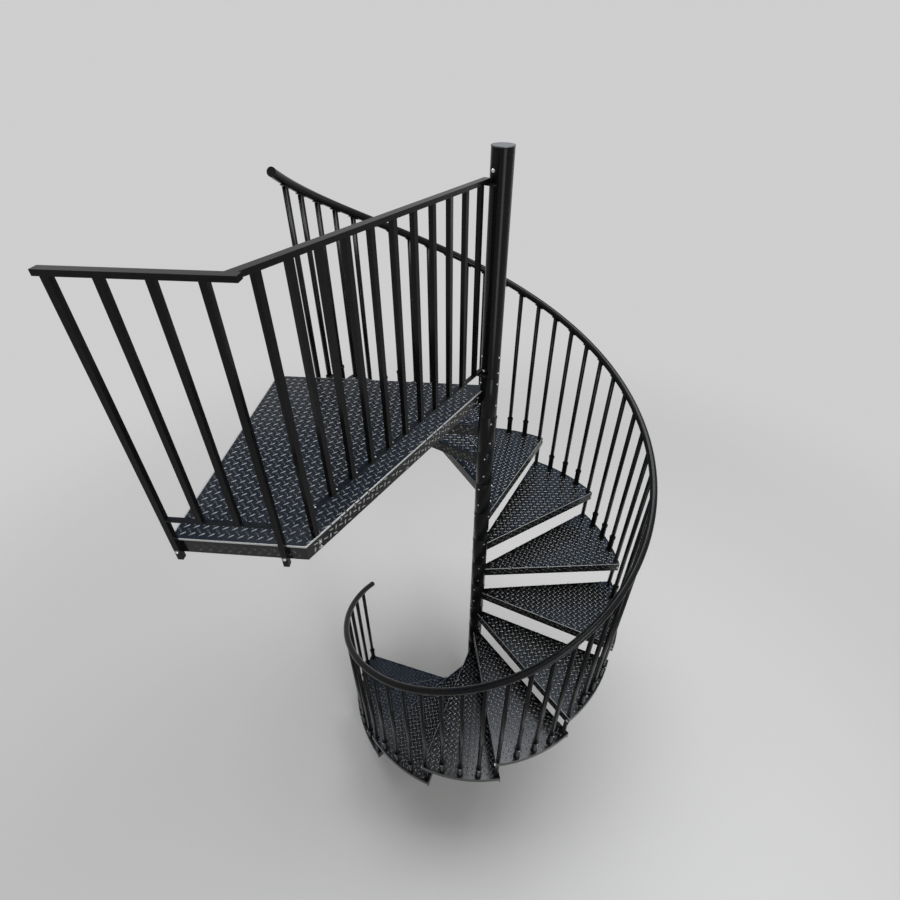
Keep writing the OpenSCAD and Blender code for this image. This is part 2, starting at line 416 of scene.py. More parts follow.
def lozengeTree():
    # Raised lozenges on a square grid, each at right angles to its neighbours, kept where
    # the middle and both tips lie on the region
    tree, given = openTree("lozenges", [
        ("Pitch", "Float", 0.0242), ("Count", "Int", 81), ("Sheet Turn", "Float", 0.0),
        ("Length", "Float", 0.029), ("Width", "Float", 0.009), ("Height", "Float", 0.0016),
        ("Taper", "Float", 0.62), ("Pinch", "Float", 0.94), ("Material", "Material", None)])
    pitch, count = given["Pitch"], given["Count"]
    span = pitch * (count - 1)
    grid = span.node("GeometryNodeMeshGrid", {},
        {"Size X": span, "Size Y": span, "Vertices X": count, "Vertices Y": count})
    place = span.node("GeometryNodeInputPosition")
    parts = span.node("ShaderNodeSeparateXYZ", {}, {0: place})
    row = (parts / pitch).math("ROUND", parts / pitch)
    column = (parts.sibling(1) / pitch).math("ROUND", parts.sibling(1) / pitch)
    odd = row.math("FLOORED_MODULO", row + column, 2.0)
    grid = grid.node("GeometryNodeStoreNamedAttribute", {"data_type": "FLOAT"},
        {"Geometry": grid, "Name": "odd", "Value": odd})
    turn = given["Sheet Turn"] + math.radians(45)
    spin = turn.node("ShaderNodeCombineXYZ", {}, {"Z": turn})
    spin = spin.node("FunctionNodeEulerToRotation", {}, {0: spin})
    grid = grid.node("GeometryNodeTransform", {}, {"Geometry": grid, "Rotation": spin})
    heading = turn + named(turn, "FLOAT", "odd") * math.radians(90)
    reach = given["Length"] * 0.5
    along = heading.node("ShaderNodeCombineXYZ", {},
        {"X": heading.math("COSINE", heading) * reach, "Y": heading.math("SINE", heading) * reach})
    hits = []
    for side in (-1.0, 0.0, 1.0):
        step = along.node("ShaderNodeVectorMath", {"operation": "SCALE"},
            {0: along, "Scale": side})
        start = step.node("ShaderNodeVectorMath", {"operation": "ADD"}, {0: place, 1: step})
        start = start.node("ShaderNodeVectorMath", {"operation": "ADD"},
            {0: start, 1: (0, 0, 0.5)})
        hits.append(start.node("GeometryNodeRaycast", {}, {"Target Geometry": given["Geometry"],
            "Source Position": start, "Ray Direction": (0, 0, -1), "Ray Length": 1.0}, out="Is Hit"))
    kept = hits[0].math("MULTIPLY", hits[0], hits[1]) * hits[2]
    points = grid.node("GeometryNodeMeshToPoints", {}, {"Mesh": grid, "Selection": kept})
    # One lozenge: a circle pinched into a lens and drawn up to a smaller top
    lens = grid.node("GeometryNodeMeshCircle", {"fill_type": "NGON"},
        {"Vertices": 12, "Radius": 1.0})
    corner = lens.node("ShaderNodeSeparateXYZ", {}, {0: place})
    pinch = (1.0 - corner * corner * given["Pinch"]) ** 0.5
    shaped = corner.node("ShaderNodeCombineXYZ", {}, {"X": corner * reach,
        "Y": corner.sibling(1) * pinch * given["Width"] * 0.5})
    lens = lens.node("GeometryNodeSetPosition", {}, {"Geometry": lens, "Position": shaped})
    lift = lens.node("ShaderNodeCombineXYZ", {}, {"Z": given["Height"]})
    raised = lens.node("GeometryNodeExtrudeMesh", {"mode": "FACES"},
        {"Mesh": lens, "Offset": lift, "Offset Scale": 1.0, "Individual": False})
    raised = raised.node("GeometryNodeScaleElements", {"domain": "FACE"},
        {"Geometry": raised, "Selection": raised.sibling("Top"), "Scale": given["Taper"]})
    raised = raised.node("GeometryNodeSetShadeSmooth", {}, {"Geometry": raised})
    aim = heading.node("ShaderNodeCombineXYZ", {}, {"Z": heading})
    aim = aim.node("FunctionNodeEulerToRotation", {}, {0: aim})
    laid = points.node("GeometryNodeInstanceOnPoints", {},
        {"Points": points, "Instance": raised, "Rotation": aim})
    closeTree(tree, laid, given["Material"])
    return tree


def scatterTree():
    # The form at each point, turned by its spin and scaled by its size
    tree, given = openTree("scatter", [("Form", "Object", None), ("Material", "Material", None)])
    form = given["Form"].node("GeometryNodeObjectInfo", {}, {"Object": given["Form"]},
        out="Geometry")
    spin = named(form, "FLOAT_VECTOR", "spin")
    spin = spin.node("FunctionNodeEulerToRotation", {}, {0: spin})
    laid = form.node("GeometryNodeInstanceOnPoints", {}, {"Points": given["Geometry"],
        "Instance": form, "Rotation": spin, "Scale": named(form, "FLOAT_VECTOR", "size")})
    closeTree(tree, laid, given["Material"])
    return tree


def balusterTree():
    # A round bar on each point, cut along the handrail's slope at its top
    tree, given = openTree("balusters", [("Radius", "Float", 0.0127), ("Slope", "Float", 0.49),
        ("Sides", "Int", 32), ("Material", "Material", None)])
    bar = given["Radius"].node("GeometryNodeMeshCylinder", {"fill_type": "NGON"},
        {"Vertices": given["Sides"], "Radius": given["Radius"], "Depth": 1.0})
    bar = bar.node("GeometryNodeTransform", {}, {"Geometry": bar, "Translation": (0, 0, 0.5)})
    place = bar.node("GeometryNodeInputPosition")
    rim = bar.node("ShaderNodeSeparateXYZ", {}, {0: place}, out=2)
    bar = bar.node("GeometryNodeStoreNamedAttribute", {"data_type": "FLOAT"},
        {"Geometry": bar, "Name": "rim", "Value": rim.math("GREATER_THAN", rim, 0.5)})
    bar = bar.node("GeometryNodeSetShadeSmooth", {}, {"Geometry": bar})
    spin = named(bar, "FLOAT_VECTOR", "spin")
    aim = spin.node("FunctionNodeEulerToRotation", {}, {0: spin})
    laid = bar.node("GeometryNodeInstanceOnPoints", {}, {"Points": given["Geometry"],
        "Instance": bar, "Rotation": aim, "Scale": named(bar, "FLOAT_VECTOR", "size")})
    real = laid.node("GeometryNodeRealizeInstances", {}, {"Geometry": laid})
    turn = spin.node("ShaderNodeSeparateXYZ", {}, {0: spin}, out=2)
    spot = spin.node("ShaderNodeSeparateXYZ", {}, {0: place})
    across = spot.sibling(1) * turn.math("COSINE", turn) - spot * turn.math("SINE", turn)
    lift = across * given["Slope"].math("TANGENT", given["Slope"]) * named(turn, "FLOAT", "rim")
    lift = lift.node("ShaderNodeCombineXYZ", {}, {"Z": lift})
    cut = real.node("GeometryNodeSetPosition", {}, {"Geometry": real, "Offset": lift})
    closeTree(tree, cut, given["Material"])
    return tree


def handrailTree():
    # A tube along a helix, closed at both ends
    tree, given = openTree("handrail", [("Start Angle", "Float", 0.0), ("Sweep", "Float", 6.0),
        ("Helix Radius", "Float", 0.889), ("Climb", "Float", 2.0), ("Start Height", "Float", 1.0),
        ("Tube Radius", "Float", 0.019), ("Steps", "Int", 180), ("Sides", "Int", 32),
        ("Material", "Material", None)])
    sweep, start, tube = given["Sweep"], given["Start Angle"], given["Tube Radius"]
    helix = sweep.node("GeometryNodeCurveSpiral", {}, {"Resolution": given["Steps"],
        "Rotations": sweep / (2 * math.pi), "Start Radius": given["Helix Radius"],
        "End Radius": given["Helix Radius"], "Height": given["Climb"], "Reverse": True})
    spin = start.node("FunctionNodeEulerToRotation", {},
        {0: start.node("ShaderNodeCombineXYZ", {}, {"Z": start})})
    lift = start.node("ShaderNodeCombineXYZ", {}, {"Z": given["Start Height"]})
    helix = helix.node("GeometryNodeTransform", {},
        {"Geometry": helix, "Translation": lift, "Rotation": spin})
    ring = tube.node("GeometryNodeCurvePrimitiveCircle", {},
        {"Resolution": given["Sides"], "Radius": tube})
    skin = helix.node("GeometryNodeCurveToMesh", {},
        {"Curve": helix, "Profile Curve": ring, "Fill Caps": True})
    skin = skin.node("GeometryNodeSetShadeSmooth", {}, {"Geometry": skin})
    closeTree(tree, skin, given["Material"])
    return tree


lozenges = lozengeTree()
scatter = scatterTree()
balusterBars = balusterTree()
handrailPath = handrailTree()


def pointMesh(places):
    # One vertex for each (position, Euler angles, scale)
    mesh = bpy.data.meshes.new("places")
    mesh.from_pydata([tuple(place[0]) for place in places], [], [])
    for name, index in (("spin", 1), ("size", 2)):
        layer = mesh.attributes.new(name, "FLOAT_VECTOR", "POINT")
        for i, place in enumerate(places):
            layer.data[i].vector = place[index]
    return mesh


def scattered(form, places, material, name):
    holder = bpy.data.objects.new("form", form)
    scene.collection.objects.link(holder)
    done = grown(scatter, pointMesh(places), {"Form": holder, "Material": material}, name)
    bpy.data.objects.remove(holder)
    return done


def facing(direction, roll=0.0):
    # Euler angles that turn +Z to the direction
    aim = Vector(direction).to_track_quat("Z", "Y").to_matrix() @ Matrix.Rotation(roll, 3, "Z")
    return tuple(aim.to_euler())


def region(polygons):
    # A flat mesh of these outlines
    mesh = bpy.data.meshes.new("region")
    body = bmesh.new()
    for polygon in polygons:
        body.faces.new([body.verts.new((p[0], p[1], 0)) for p in polygon])
    body.to_mesh(mesh)
    body.free()
    return mesh


def folded(mesh, sides):
    # Folds what lies outside each side's line down by a right angle
    for vertex in mesh.vertices:
        for start, end in sides:
            along = (end - start).normalized()
            outward = Vector((along.y, -along.x))
            flat = Vector(vertex.co[:2])
            beyond = (flat - start).dot(outward)
            reach = (flat - start).dot(along)
            if beyond > 0 and -0.01 < reach < (end - start).length + 0.01:
                flat += outward * (vertex.co.z - beyond)
                vertex.co = (flat.x, flat.y, -beyond)
                break
    mesh.update()
    return mesh


def reflected(p):
    # The point's mirror image in the middle line between a tread's ends
    c, s = math.cos(stair["wide"]), math.sin(stair["wide"])
    return Vector((p[0] * c + p[1] * s, p[0] * s - p[1] * c))


# Treads

# The checker plate's lozenges, by the names of their tree's inputs
lozengeSize = {
    "Pitch": 0.0242,
    "Length": 0.029,
    "Width": 0.009,
    "Height": 0.0016,
    "Taper": 0.62,
    "Pinch": 0.94,
}
treadLook = {
    "bend": 0.0065,
    "bendSteps": 6,
    "innerBend": 0.3,
    "edge": 0.0011,
    # How strongly the front bend is painted lighter, as worn paint and as a painted highlight
    "wearAndHighlight": 0.62,
    "innerRadius": 0.0405,
    "arcSteps": 24,
    "lozengeRows": 91,
    "lozengeInset": 0.0045,
    "lozengeFrom": 0.06,
    "flangeInset": 0.004,
    "endInset": 0.006,
    "hubSides": 64,
    "hubCut": 0.0008,
}


def treadPan():
    t, r, flange, lip = stair["plate"], stair["radius"], stair["flange"], stair["lip"]
    r0 = treadLook["innerRadius"]
    steps = treadLook["arcSteps"]

    def onCircle(radius, y):
        return Vector((math.sqrt(radius * radius - y * y), y))

    def sidePoints(y):
        # A flange's ends and its inner line's, for an outer face at this y
        return (onCircle(r0, y), onCircle(r, y), onCircle(r0, y + t), onCircle(r, y + t),
            onCircle(r - t, y + t))

    front = sidePoints(-stair["noseOff"])
    back = [reflected(p) for p in sidePoints(0)]

    def arc(start, end, radius):
        low, high = math.atan2(start.y, start.x), math.atan2(end.y, end.x)
        return [polar(radius, low + (high - low) * i / steps).to_2d() for i in range(steps + 1)]

    outer = arc(front[3], back[3], r)
    inner = arc(front[4], back[4], r - t)
    body = bmesh.new()
    weight = body.edges.layers.float.new("bevel_weight_edge")
    made = {}

    def corner(p, z):
        key = (round(p[0], 7), round(p[1], 7), round(z, 7))
        if key not in made:
            made[key] = body.verts.new((p[0], p[1], z))
        return made[key]

    def face(*points):
        return body.faces.new([corner(p, z) for p, z in points])

    face(*[(p, 0) for p in [front[0], front[1]] + outer + [back[1], back[0]]])
    face(*[(p, -t) for p in [front[2]] + inner + [back[2]]])
    for side, first, last in ((front, outer[0], inner[0]), (back, outer[-1], inner[-1])):
        a0, a1, b0 = side[:3]
        face((a0, 0), (a1, 0), (a1, -flange), (a0, -flange))
        face((a1, 0), (first, 0), (first, -lip), (first, -flange), (a1, -flange))
        face((a0, -flange), (a1, -flange), (first, -flange), (b0, -flange))
        face((b0, -flange), (first, -flange), (first, -lip), (last, -lip), (last, -t), (b0, -t))
    for i in range(steps):
        face((outer[i], 0), (outer[i + 1], 0), (outer[i + 1], -lip), (outer[i], -lip))
        face((outer[i], -lip), (outer[i + 1], -lip), (inner[i + 1], -lip), (inner[i], -lip))
        face((inner[i], -lip), (inner[i + 1], -lip), (inner[i + 1], -t), (inner[i], -t))
    face((front[0], 0), (front[0], -flange), (front[2], -flange), (front[2], -t), (back[2], -t),
        (back[2], -flange), (back[0], -flange), (back[0], 0))
    bmesh.ops.recalc_face_normals(body, faces=body.faces)
    bend = treadLook["bend"]
    for edge in body.edges:
        if edge.calc_face_angle(0) < math.radians(30):
            continue
        low, high = [v.co for v in edge.verts]
        level = low.z == high.z
        long = (low - high).length > 0.5
        if level and long and low.z > -0.001:
            edge[weight] = 1.0
        elif level and long and abs(low.z + t) < 0.001:
            edge[weight] = treadLook["innerBend"]
        elif max(low.to_2d().length, high.to_2d().length) > 0.05:
            edge[weight] = treadLook["edge"] / bend
    pan = rounded(taken(body, "treadPan"), bend, treadLook["bendSteps"])
    return bendMarked(pan, bend, treadLook["wearAndHighlight"], -stair["noseOff"])


def lozengeSheet():
    # The lozenges of one tread, folded with its flanges
    wide, off = stair["wide"], stair["noseOff"]
    r, edge, clear = stair["radius"], treadLook["lozengeInset"], treadLook["lozengeFrom"]
    drop, end = stair["flange"] - treadLook["flangeInset"], r - treadLook["endInset"]

    def arc(radius, steps):
        low = math.asin((edge - off) / radius)
        high = wide - math.asin(edge / radius)
        return [polar(radius, low + (high - low) * i / steps).to_2d() for i in range(steps + 1)]

    def strip(y):
        return [Vector(p) for p in ((clear, y - drop), (end, y - drop), (end, y - edge),
            (clear, y - edge))]

    flat = region([arc(clear, 2)[::-1] + arc(r - edge, 16), strip(-off),
        [reflected(p) for p in reversed(strip(0))]])
    sheet = grown(lozenges, flat, {**lozengeSize, "Count": treadLook["lozengeRows"],
        "Sheet Turn": wide / 2, "Material": lozengePaint}, "treadLozenges")
    zero = Vector((0, 0))
    return folded(sheet, [(Vector((0, -off)), Vector((r, -off))), (reflected((r, 0)), zero)])


def hubSleeve(bottom, top, name):
    return lathed(chamfered(stair["boreRadius"], stair["hubRadius"], bottom, top,
        treadLook["hubCut"]), name, treadLook["hubSides"], ring=True)


panShape = treadPan()
hubShape = hubSleeve(stair["hubAbove"] - stair["rise"], stair["hubAbove"], "hubSleeve")
treadShape = joined([coated(panShape, platePaint), coated(hubShape, steelPaint)], "treadShape")
sheetShape = lozengeSheet()
for k in range(1, stair["treads"] + 1):
    there = turned(nosing(k), k * stair["rise"])
    placed(moved(treadShape, there), f"treadPan_{k}", [f"tread_{k}"])
    placed(moved(sheetShape, there), f"treadLozenges_{k}")
print("treads made:", len(sheetShape.polygons), "lozenge faces on each")


# Balusters and handrail

balusterLook = {
    "sides": 32,
    "shoeHeight": 0.12,
    "shoeWall": 0.004,
    "ringWall": 0.009,
    "ringHeight": 0.008,
    "collarWall": 0.007,
    "collarHeight": 0.012,
    "softEdge": 0.001,
    "softTop": 0.0015,
    "shoeScrewSize": (0.6, 0.6, 0.8),
    "tabLength": 0.052,
    "tabWidth": 0.02,
    "tabThick": 0.004,
    "tabScrewAt": 0.019,
    "tabScrewSize": (0.7, 0.7, 0.6),
}
look = balusterLook
barRadius = stair["balusterRadius"]
sleeve, collar = barRadius + look["shoeWall"], barRadius + look["collarWall"]
foot, shoeTop = barRadius + look["ringWall"], look["shoeHeight"]
collarFoot = shoeTop - look["collarHeight"]
ringTop, soft, softTop = look["ringHeight"], look["softEdge"], look["softTop"]
shoeForm = lathed([
    (barRadius, 0), (foot - soft, 0), (foot, soft), (foot, ringTop - softTop),
    (foot - softTop, ringTop), (sleeve, ringTop), (sleeve, collarFoot),
    (collar - soft, collarFoot), (collar, collarFoot + soft), (collar, shoeTop - softTop),
    (collar - softTop, shoeTop), (barRadius, shoeTop)], "shoeForm", look["sides"], ring=True)
tabForm = boxed((-look["tabWidth"] / 2, -look["tabLength"] / 2, 0),
    (look["tabWidth"] / 2, look["tabLength"] / 2, look["tabThick"]), "tabForm", soft, 2)
grubPlaces, tabScrewPlaces = [], []
for k in range(1, stair["treads"] + 1):
    bars, shoes, tabs = [], [], []
    first = 0 if k == 1 else 1
    last = stair["perTread"] - 1 if k == stair["treads"] else stair["perTread"]
    for i in range(first, last + 1):
        angle = nosing(k) + balusterPhase + i * stair["turn"] / stair["perTread"]
        low = k * stair["rise"]
        top = railCentre(angle) - (stair["railRadius"] + look["tabThick"]) / math.cos(slope)
        bars.append((polar(stair["balusterRing"], angle, low), (0, 0, angle), (1, 1, top - low)))
        spot = polar(stair["balusterRing"], angle, top)
        tabs.append((spot, (slope, 0, angle), (1, 1, 1)))
        tangent = Matrix.Rotation(angle, 3, "Z") @ Matrix.Rotation(slope, 3, "X")
        for step in (-look["tabScrewAt"], look["tabScrewAt"]):
            tabScrewPlaces.append((spot + tangent @ Vector((0, step, 0)),
                facing(tangent @ Vector((0, 0, -1))), look["tabScrewSize"]))
        if i < stair["perTread"]:
            shoes.append((polar(stair["balusterRing"], angle, low), (0, 0, angle), (1, 1, 1)))
            out = polar(1, angle)
            grubPlaces.append((polar(stair["balusterRing"] + collar, angle,
                low + shoeTop - look["collarHeight"] / 2), facing(out), look["shoeScrewSize"]))
    bar = grown(balusterBars, pointMesh(bars), {"Radius": barRadius, "Slope": slope,
        "Sides": look["sides"], "Material": steelPaint}, "bars")
    parts = [bar, scattered(shoeForm, shoes, steelPaint, "shoes"),
        scattered(tabForm, tabs, steelPaint, "tabs")]
    placed(joined(parts, f"balusterSet_{k}"), f"balusterSet_{k}",
        [f"balusters_{k}"])
handrailLook = {
    "steps": 180,
    "sides": 32,
    "sharp": 40,
}
railFrom = nosing(1) - stair["railStart"]
railTo = stair["landingAngle"] - stair["railStop"]
rail = grown(handrailPath, pointMesh([((0, 0, 0), (0, 0, 0), (1, 1, 1))]), {
    "Start Angle": railFrom, "Sweep": railTo - railFrom, "Helix Radius": stair["balusterRing"],
    "Climb": railCentre(railTo) - railCentre(railFrom), "Start Height": railCentre(railFrom),
    "Tube Radius": stair["railRadius"], "Steps": handrailLook["steps"],
    "Sides": handrailLook["sides"], "Material": steelPaint}, "handrailTube")
rail.set_sharp_from_angle(angle=math.radians(handrailLook["sharp"]))
placed(rail, "handrailTube", ["handrail"])
print("balusters and handrail made")


# Landing

guardDir = Vector((math.cos(stair["guardAngle"]), math.sin(stair["guardAngle"])))
guardIn = Vector((guardDir.y, -guardDir.x))
guardFrom = guardIn * stair["guardOffset"]
stairEdge = stair["stairEdge"]
cornerAlong = (-stair["landingY"] - guardFrom.y) / guardDir.y


def onGuard(along):
    return guardFrom + guardDir * along


landingOutline = [onGuard((stairEdge - guardFrom.y) / guardDir.y),
    Vector((-stair["landingX"], stairEdge)), Vector((-stair["landingX"], -stair["landingY"])),
    onGuard(cornerAlong)]


def inset(points, distance):
    # The outline moved inwards, from the crossings of its moved edges
    done = []
    count = len(points)
    for i in range(count):
        before, here, after = points[i - 1], points[i], points[(i + 1) % count]
        d, e = (here - before).normalized(), (after - here).normalized()
        p = here + Vector((-d.y, d.x)) * distance
        q = here + Vector((-e.y, e.x)) * distance
        step = (q - p).cross(e) / d.cross(e)
        done.append(p + d * step)
    return done


landingLook = {
    "bend": 0.0065,
    "bendSteps": 6,
    "innerBend": 0.3,
    "edge": 0.0011,
    # How strongly the landing's bends are painted lighter, as worn paint and as a painted highlight
    "wearAndHighlight": 1.0,
    "boltHoles": 4,
    "boltPitch": 0.23,
    "boltHole": 0.012,
    "lozengeRows": 121,
    "cornerClear": 0.11,
    "hubClear": 0.085,
    "endClear": 0.008,
}


def landingPan():
    t, flange = stair["plate"], stair["flange"]
    outer, inner = landingOutline, inset(landingOutline, t)
    body = bmesh.new()
    rows = [[body.verts.new((p.x, p.y, z)) for p in points] for points, z in
        ((outer, 0), (outer, -flange), (inner, -flange), (inner, -t))]
    body.faces.new(rows[0])
    body.faces.new(list(reversed(rows[3])))
    for low, high in zip(rows, rows[1:]):
        for i in range(4):
            j = (i + 1) % 4
            body.faces.new([low[i], high[i], high[j], low[j]])
    pan = taken(body, "landingPan")
    cutter = bmesh.new()
    for i in range(landingLook["boltHoles"]):
        y = (stairEdge - stair["landingY"]) / 2 \
            + (i - (landingLook["boltHoles"] - 1) / 2) * landingLook["boltPitch"]
        at = Matrix.Translation((-stair["landingX"], y, -flange / 2 - t / 2))
        bmesh.ops.create_cone(cutter, cap_ends=True, segments=24, depth=0.04,
            radius1=landingLook["boltHole"] / 2, radius2=landingLook["boltHole"] / 2,
            matrix=at @ Matrix.Rotation(math.radians(90), 4, "Y"))
    tool = bpy.data.objects.new("cutter", taken(cutter, "cutter"))
    scene.collection.objects.link(tool)

    def addCut(holder):
        cut = holder.modifiers.new("cut", "BOOLEAN")
        cut.object = tool
        cut.solver = "EXACT"

    pan = evaluated(pan, "landingPan", addCut)
    bpy.data.objects.remove(tool)
    body = bmesh.new()
    body.from_mesh(pan)
    weight = body.edges.layers.float.new("bevel_weight_edge")
    bend = landingLook["bend"]
    for edge in body.edges:
        if edge.calc_face_angle(0) < math.radians(30):
            continue
        low, high = [v.co for v in edge.verts]
        long = (low - high).length > 0.3
        if long and low.z > -0.001 and high.z > -0.001:
            edge[weight] = 1.0
        elif long and abs(low.z + t) < 0.001 and abs(high.z + t) < 0.001:
            edge[weight] = landingLook["innerBend"]
        elif long or abs(low.z - high.z) > 0.03:
            edge[weight] = landingLook["edge"] / bend
    pan = rounded(taken(body, "landingPan"), bend, landingLook["bendSteps"])
    return bendMarked(pan, bend, landingLook["wearAndHighlight"])


def landingSheet():
    # The landing's lozenges, folded with its flanges and clear of the hub's corner
    edge, drop = treadLook["lozengeInset"], stair["flange"] - treadLook["flangeInset"]
    outline = landingOutline
    top = inset(outline, edge)
    down = (top[3] - top[0]).normalized()
    side = (top[1] - top[0]).normalized()
    clear = landingLook["cornerClear"]
    flats = [[top[0] + side * clear] + top[1:] + [top[0] + down * clear]]
    for i in range(4):
        start, end = outline[i], outline[(i + 1) % 4]
        along = (end - start).normalized()
        outward = Vector((along.y, -along.x))
        low = start + along * landingLook["hubClear" if i == 0 else "endClear"]
        high = end - along * landingLook["hubClear" if i == 3 else "endClear"]
        flats.append([low + outward * edge, low + outward * drop, high + outward * drop,
            high + outward * edge])
    sheet = grown(lozenges, region(flats), {**lozengeSize, "Count": landingLook["lozengeRows"],
        "Sheet Turn": 0.0, "Material": landingLozengePaint}, "landingLozenges")
    return folded(sheet, [(outline[i], outline[(i + 1) % 4]) for i in range(4)])


def dotGlintsMarked(mesh, start, end):
    # Marks what stands proud of the flange under the front guard, its lozenges' tops, to be painted
    # lighter as painted glints and partly worn paint
    along = (end - start).normalized()
    outward = Vector((along.y, -along.x))
    layer = mesh.attributes.new("bend", "FLOAT", "POINT")
    for vertex in mesh.vertices:
        if vertex.co.z < -0.004 and (vertex.co.to_2d() - start).dot(outward) > 0.0009:
            layer.data[vertex.index].value = 1.0
    return mesh


landingHub = hubSleeve(stair["hubAbove"] - stair["rise"], stair["hubAbove"], "landingHub")
landingShape = joined([coated(landingPan(), platePaint), coated(landingHub, steelPaint)],
    "landingShape")
placed(moved(landingShape, turned(0, landingZ)), "landingPan", ["landing"])
guardEdge = min(((landingOutline[i], landingOutline[(i + 1) % 4]) for i in (0, 3)),
    key=lambda ends: ends[0].y + ends[1].y)
landingGlintDots = dotGlintsMarked(landingSheet(), *guardEdge)
placed(moved(landingGlintDots, turned(0, landingZ)), "landingLozenges")
print("landing made:", len(landingGlintDots.polygons), "lozenge faces")


# Guards, pole and base plate, with their edges softened

softLook = {
    "front_guard": (0.0012, 2),
    "side_guard": (0.0012, 2),
    "base_plate": (0.0015, 3),
    "base_collar": (0.0008, 2),
    "newel": (0.0008, 2),
    "newel_cap": (0.0018, 4),
}
softSlots = {"newel_cap": ("cap", capPaint)}
for node, (width, segments) in softLook.items():
    body = bmesh.new()
    body.from_mesh(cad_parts[node].data)
    bmesh.ops.remove_doubles(body, verts=body.verts, dist=0.00001)
    bmesh.ops.dissolve_limit(body, angle_limit=math.radians(0.6), verts=body.verts,
        edges=body.edges)
    name = "soft" + "".join(part.capitalize() for part in node.split("_"))
    slotName, material = softSlots.get(node, ("painted_steel", steelPaint))
    mesh = coated(rounded(taken(body, name), width, segments, 30), material)
    placed(mesh, name, [node])
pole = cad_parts["centre_pole"]
pole.data.materials.clear()
pole.data.materials.append(steelPaint)
print("guards, newel and base made")


# Screws and bolts

boltLook = {
    "across": 0.0085,
    "height": 0.0045,
    "straight": 0.8,
    "top": 0.82,
    "washer": 0.0095,
    "washerLow": -0.0005,
    "washerTop": 0.0006,
    "hubAngles": (24, 144, 264),
    "hubHeights": (0.041, -0.08),
    "newelHeights": (0.101, 0.182),
    "hubTurn": 0.3,
    "hubSize": (1, 1, 1),
    "cornerAt": (0.903, -0.031),
    "cornerSize": (1.5, 1.5, 1.4),
}


def hexHead():
    # A hexagon head with a chamfered top on a washer
    radius, height = boltLook["across"] / 2 / math.cos(math.radians(30)), boltLook["height"]
    head = lathed([(0, 0), (radius, 0), (radius, height * boltLook["straight"]),
        (radius * boltLook["top"], height), (0, height)], "head", 6)
    rim, low, top = boltLook["washer"] / 2, boltLook["washerLow"], boltLook["washerTop"]
    washer = lathed([(0, low), (rim, low), (rim, top), (0, top)], "washer", 20)
    return joined([head, washer], "hexHead")


screwPlaces = []
for k in range(1, stair["treads"] + 2):
    heights = boltLook["hubHeights"]
    if k > stair["treads"]:
        heights += boltLook["newelHeights"]
    for step in boltLook["hubAngles"]:
        angle = nosing(k) + math.radians(step)
        for dz in heights:
            screwPlaces.append((polar(stair["hubRadius"], angle, k * stair["rise"] + dz),
                facing(polar(1, angle), boltLook["hubTurn"] * k), boltLook["hubSize"]))
cornerPlaces = []
cornerOut, cornerUp = boltLook["cornerAt"]
for k in range(1, stair["treads"] + 1):
    there = turned(nosing(k), k * stair["rise"])
    cornerPlaces.append((there @ Vector((cornerOut, -stair["noseOff"], cornerUp)),
        facing(there.to_3x3() @ Vector((0, -1, 0))), boltLook["cornerSize"]))
headForm = hexHead()
placed(scattered(headForm, cornerPlaces, zinc, "cornerBolts"), "cornerBolts")
placed(scattered(headForm, screwPlaces, zinc, "hubScrews"), "hubScrews")
placed(scattered(headForm, grubPlaces, zinc, "shoeScrews"), "shoeScrews")
placed(scattered(headForm, tabScrewPlaces, zinc, "tabScrews"), "tabScrews")

guardLook = {
    "post": 0.02,
    "postBack": 0.06,
    "bars": 10,
    "pitch": 0.105,
    "topBoltRise": 0.041,
    "bottomBoltRise": 0.014,
    "height": 0.926,
    "topRail": 0.016,
    "bottomRail": 0.104,
    "bottomRailThick": 0.006,
    "bracketTurn": math.radians(9),
    "bracketThick": 0.005,
    "bracketBolt": (1.5, 1.5, 1.5),
    "postBolt": (1.4, 1.4, 1.3),
    "postBoltHeights": (-0.026, -0.05),
    "sidePostIn": 0.075,
    "sidePostOut": 0.025,
    "sideBoltHeight": -0.041,
    "footScrewAt": -0.0235,
    "footScrew": (0.7, 0.7, 0.7),
}
guard = guardLook
postOff = stair["plate"] + guard["post"] / 2
postAlong = cornerAlong - guard["postBack"]


def guardPoint(along, inward, up):
    flat = onGuard(along) + guardIn * (postOff + inward)
    return Vector((flat.x, flat.y, landingZ + up))


boltPlaces = []
bracketAngle = stair["guardAngle"] - guard["bracketTurn"]
for up in (guard["height"] - guard["topRail"] + guard["topBoltRise"],
        guard["bottomRail"] + guard["bottomBoltRise"]):
    boltPlaces.append((polar(stair["hubRadius"] + guard["bracketThick"], bracketAngle,
        landingZ + up), facing(polar(1, bracketAngle)), guard["bracketBolt"]))
outward = Vector((-guardIn.x, -guardIn.y, 0))
for up in guard["postBoltHeights"]:
    boltPlaces.append((guardPoint(postAlong, -postOff, up), facing(outward), guard["postBolt"]))
for x in (landingOutline[3].x - guard["sidePostIn"], guard["sidePostOut"] - stair["landingX"]):
    spot = Vector((x, -stair["landingY"] - guard["post"], landingZ + guard["sideBoltHeight"]))
    boltPlaces.append((spot, facing((0, -1, 0)), guard["postBolt"]))
placed(scattered(headForm, boltPlaces, zinc, "guardBolts"), "guardBolts")
footPlaces = []
for i in range(guard["bars"] + 1):
    footPlaces.append((guardPoint(postAlong - i * guard["pitch"] + guard["footScrewAt"], 0,
        guard["bottomRail"] + guard["bottomRailThick"]), facing((0, 0, 1)), guard["footScrew"]))
placed(scattered(headForm, footPlaces, zinc, "footScrews"), "footScrews")
print("screws made")


# Floor, light and camera

